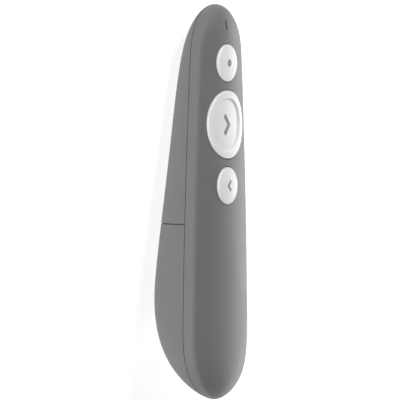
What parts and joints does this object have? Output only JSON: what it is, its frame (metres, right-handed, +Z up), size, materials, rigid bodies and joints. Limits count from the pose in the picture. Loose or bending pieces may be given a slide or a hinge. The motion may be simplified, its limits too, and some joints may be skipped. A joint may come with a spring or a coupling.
{
  "type": "wireless presentation clicker",
  "caption": "Slim rounded handheld presentation clicker with round white press buttons, indicator slit, sliding battery door and stored USB receiver.",
  "frame": {"origin": "on the surface that the clicker lies on, under the middle of its bounding box", "axes": "+Z up, square to the straight back that it rests on; +Y towards the nose; +X to the right as seen from above with the nose away"},
  "size_m": [0.0372, 0.1302, 0.0291],
  "materials": {
    "casing_grey": "fine matt moulded texture",
    "button_white": "smooth satin",
    "smoked_lens": "smoked clear",
    "clear_lens": "clear, red tinted",
    "board_green": "solder mask",
    "chip_black": "moulded epoxy",
    "ceramic_tan": "ceramic chips",
    "ceramic_white": "ceramic",
    "plated_steel": "bright nickel plating",
    "spring_bronze": "sprung bronze strip",
    "barrel_brass": "turned brass",
    "tray_black": "fine matt",
    "cell_sleeve": "plain printed sleeve with a copper band",
    "receiver_black": "satin",
    "tongue_white": "moulded",
    "gold_contact": "gold flash",
    "screw_steel": "black zinc",
    "lamp_clear": "cast resin"
  },
  "bodies": {
    "handset": {"top_shell": "casing_grey", "back_shell": "casing_grey", "led_light_pipe": "smoked_lens", "laser_window": "clear_lens", "laser_barrel": "barrel_brass", "laser_lens": "clear_lens", "laser_diode": "plated_steel", "circuit_board": "board_green", "radio_chip": "chip_black", "crystal": "plated_steel", "chip_antenna": "ceramic_white", "boost_inductor": "chip_black", "laser_driver_chip": "chip_black", "chip_capacitors": "ceramic_tan", "chip_resistors": "chip_black", "status_led": "lamp_clear", "battery_tray": "tray_black", "cell_can": "cell_sleeve", "cell_seal_ring": "tray_black", "cell_positive_cap": "plated_steel", "positive_contact": "spring_bronze", "negative_contact": "spring_bronze", "board_screws": "screw_steel", "case_screws": "screw_steel", "tray_screws": "screw_steel", "laser_switch": "chip_black", "next_switch": "chip_black", "previous_switch": "chip_black"},
    "laser_key": {"laser_button": "button_white", "laser_plunger": "tongue_white"},
    "next_key": {"next_button": "button_white", "next_plunger": "tongue_white"},
    "previous_key": {"previous_button": "button_white", "previous_plunger": "tongue_white"},
    "door": {"battery_door": "casing_grey"},
    "receiver": {"receiver_housing": "receiver_black", "receiver_usb_shell": "plated_steel", "receiver_tongue": "tongue_white", "receiver_contacts": "gold_contact", "receiver_board": "board_green"}
  },
  "joints": [
    {"name": "laser_press", "type": "slide", "parent": "handset", "child": "laser_key", "axis": [0, -0.1349, -0.9909], "range_m": [0, 0.0004], "stiffness_N_per_m": 4500},
    {"name": "next_press", "type": "slide", "parent": "handset", "child": "next_key", "axis": [0, -0.1349, -0.9909], "range_m": [0, 0.0004], "stiffness_N_per_m": 4500},
    {"name": "previous_press", "type": "slide", "parent": "handset", "child": "previous_key", "axis": [0, -0.1349, -0.9909], "range_m": [0, 0.0004], "stiffness_N_per_m": 4500},
    {"name": "door_slide", "type": "slide", "parent": "handset", "child": "door", "axis": [0, -0.9909, 0.1349], "range_m": [0, 0.06]},
    {"name": "receiver_pull", "type": "slide", "parent": "handset", "child": "receiver", "axis": [0, -0.9909, 0.1349], "range_m": [0, 0.013]}
  ]
}
